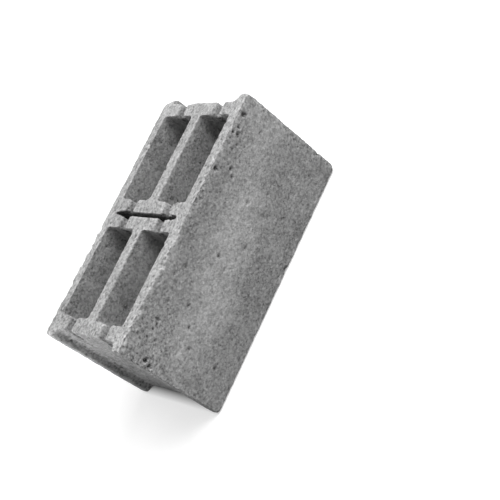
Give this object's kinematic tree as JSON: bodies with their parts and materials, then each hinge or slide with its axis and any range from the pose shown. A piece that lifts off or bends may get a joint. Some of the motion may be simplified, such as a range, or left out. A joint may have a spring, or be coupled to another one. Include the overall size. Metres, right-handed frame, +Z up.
{
  "type": "hollow concrete block",
  "caption": "Hollow concrete masonry block with upright rectangular cells, scored webs, a slit across the middle for splitting and recessed ends between ears; for laying walls in mortar.",
  "frame": {"origin": "middle of the lower bed face, at the floor", "axes": "+X along the length, +Y across the width towards the back shell, +Z up along the cells"},
  "size_m": [0.39, 0.19, 0.19],
  "materials": {
    "cast_concrete": "rough, open-grained dry-cast concrete, neutral grey, matte"
  },
  "bodies": {
    "root": {"concrete_block": "cast_concrete"}
  },
  "joints": []
}
